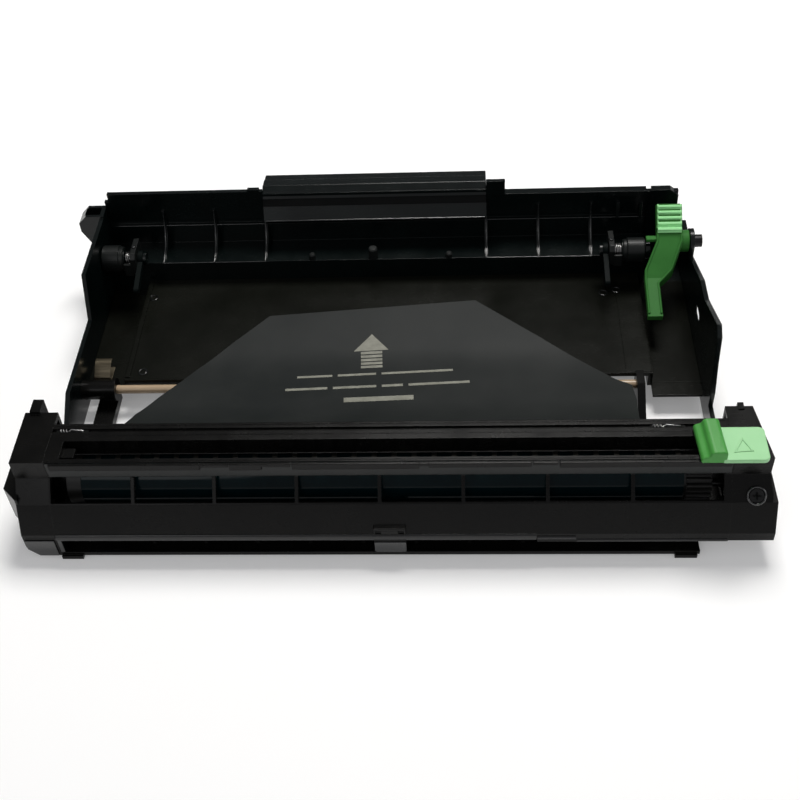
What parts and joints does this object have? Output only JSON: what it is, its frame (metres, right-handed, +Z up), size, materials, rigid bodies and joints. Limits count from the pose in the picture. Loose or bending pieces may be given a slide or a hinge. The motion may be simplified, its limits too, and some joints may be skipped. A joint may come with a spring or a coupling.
{
  "type": "printer drum unit",
  "caption": "Drum unit of a desktop page printer: an open tray for the toner cartridge, and a front housing with drum, charging wire, roller, wire cleaner and lock lever.",
  "frame": {"origin": "middle of the footprint, at the height of the feet's soles", "axes": "+X along the drum to the lever's side, +Y from the front face to the grip, +Z up"},
  "size_m": [0.312, 0.196, 0.058],
  "materials": {
    "frame_plastic": "satin black",
    "cover_plastic": "satin black",
    "bright_steel": "bright",
    "drum_coating": "smooth green-blue coating",
    "gear_plastic": "plain",
    "roller_foam": "fine foam",
    "pale_green": "satin",
    "green_plastic": "satin",
    "felt": "felt",
    "brown_plastic": "smooth",
    "card": "coated",
    "contact_brass": "dull"
  },
  "bodies": {
    "housing": {"main_frame": "frame_plastic", "left_side_wall": "frame_plastic", "right_side_wall": "frame_plastic", "rear_wall": "frame_plastic", "front_trough": "cover_plastic", "top_cover": "cover_plastic", "left_end_cap": "cover_plastic", "right_end_cap": "cover_plastic", "cap_screw": "bright_steel", "front_latch": "cover_plastic", "drum_spindle": "bright_steel", "roller_bearing_left": "gear_plastic", "roller_bearing_right": "gear_plastic", "bearing_spring_left": "bright_steel", "bearing_spring_right": "bright_steel", "corona_wire": "bright_steel", "wire_anchor_left": "cover_plastic", "wire_anchor_right": "cover_plastic", "screen_plate": "bright_steel", "feed_bush": "cover_plastic", "contact_leaf": "contact_brass", "protective_sheet": "card", "press_spring_left": "bright_steel", "press_spring_right": "bright_steel", "lever_spring": "bright_steel"},
    "drum": {"opc_drum": "drum_coating", "drum_gear": "gear_plastic", "drum_end_flange": "gear_plastic"},
    "roller": {"transfer_roller": "roller_foam", "transfer_shaft": "bright_steel", "transfer_gear": "gear_plastic"},
    "cleaner": {"wire_cleaner": "pale_green", "cleaner_pad": "felt"},
    "lever": {"lock_lever": "green_plastic", "lever_pin": "bright_steel"},
    "press_left": {"press_arm_left": "frame_plastic", "press_pin_left": "frame_plastic"},
    "press_right": {"press_arm_right": "frame_plastic", "press_pin_right": "frame_plastic"},
    "feed": {"feed_shaft": "brown_plastic"}
  },
  "joints": [
    {"name": "drum_spin", "type": "hinge", "parent": "housing", "child": "drum", "pos_m": [0, -0.073, 0.0245], "axis": [1, 0, 0], "continuous": true},
    {"name": "roller_spin", "type": "hinge", "parent": "housing", "child": "roller", "pos_m": [0, -0.064, 0.00891], "axis": [1, 0, 0], "continuous": true},
    {"name": "feed_spin", "type": "hinge", "parent": "housing", "child": "feed", "pos_m": [0, -0.0113, 0.0124], "axis": [1, 0, 0], "continuous": true},
    {"name": "cleaner_slide", "type": "slide", "parent": "housing", "child": "cleaner", "axis": [-1, 0, 0], "range_m": [0, 0.245]},
    {"name": "lever_turn", "type": "hinge", "parent": "housing", "child": "lever", "pos_m": [0.13, 0.0605, 0.0355], "axis": [1, 0, 0], "range_deg": [-15, 0], "stiffness_Nm_per_rad": 0.15, "springref_deg": 8.59, "deforming": ["lever_spring"]},
    {"name": "press_left_turn", "type": "hinge", "parent": "housing", "child": "press_left", "pos_m": [-0.13, 0.0585, 0.0324], "axis": [1, 0, 0], "range_deg": [-14, 0], "stiffness_Nm_per_rad": 0.1, "springref_deg": 8.59, "deforming": ["press_spring_left"]},
    {"name": "press_right_turn", "type": "hinge", "parent": "housing", "child": "press_right", "pos_m": [0.11, 0.0585, 0.0324], "axis": [1, 0, 0], "range_deg": [-14, 0], "stiffness_Nm_per_rad": 0.1, "springref_deg": 8.59, "deforming": ["press_spring_right"]}
  ],
  "couplings": [
    {"joint": "roller_spin", "follows": "drum_spin", "ratio": -2}
  ]
}
